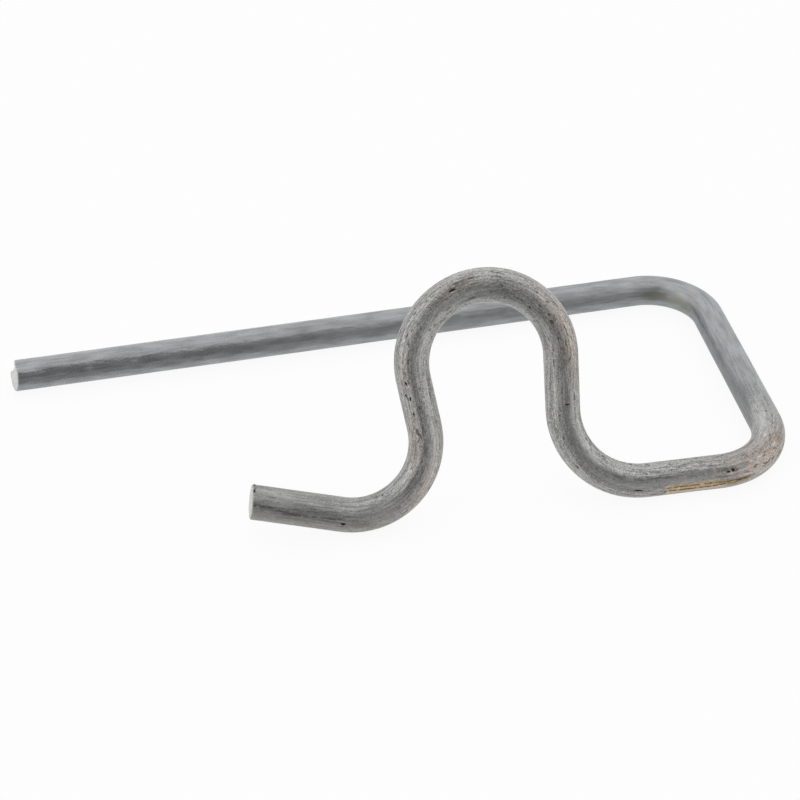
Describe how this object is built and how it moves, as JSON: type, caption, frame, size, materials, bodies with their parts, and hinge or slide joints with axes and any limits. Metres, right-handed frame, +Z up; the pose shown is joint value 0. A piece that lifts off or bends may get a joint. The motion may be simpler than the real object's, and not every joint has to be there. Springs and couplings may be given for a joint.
{
  "type": "hitch r clip pin",
  "caption": "Spring wire retaining clip with a straight leg for a pin's cross hole, a squared end loop and a hump that snaps over the pin.",
  "frame": {"origin": "middle of the clip's footprint, on the surface that it lies on", "axes": "+X along the straight leg, from its cut tip to the end loop; +Y from the front run to the leg; +Z up, the way the hump stands"},
  "size_m": [0.1166, 0.0538, 0.0331],
  "materials": {
    "spring_wire": "dull grey drawn spring steel wire, fine pits and length-wise drawing lines, bright cropped ends"
  },
  "bodies": {
    "root": {"wire_clip": "spring_wire"}
  },
  "joints": []
}
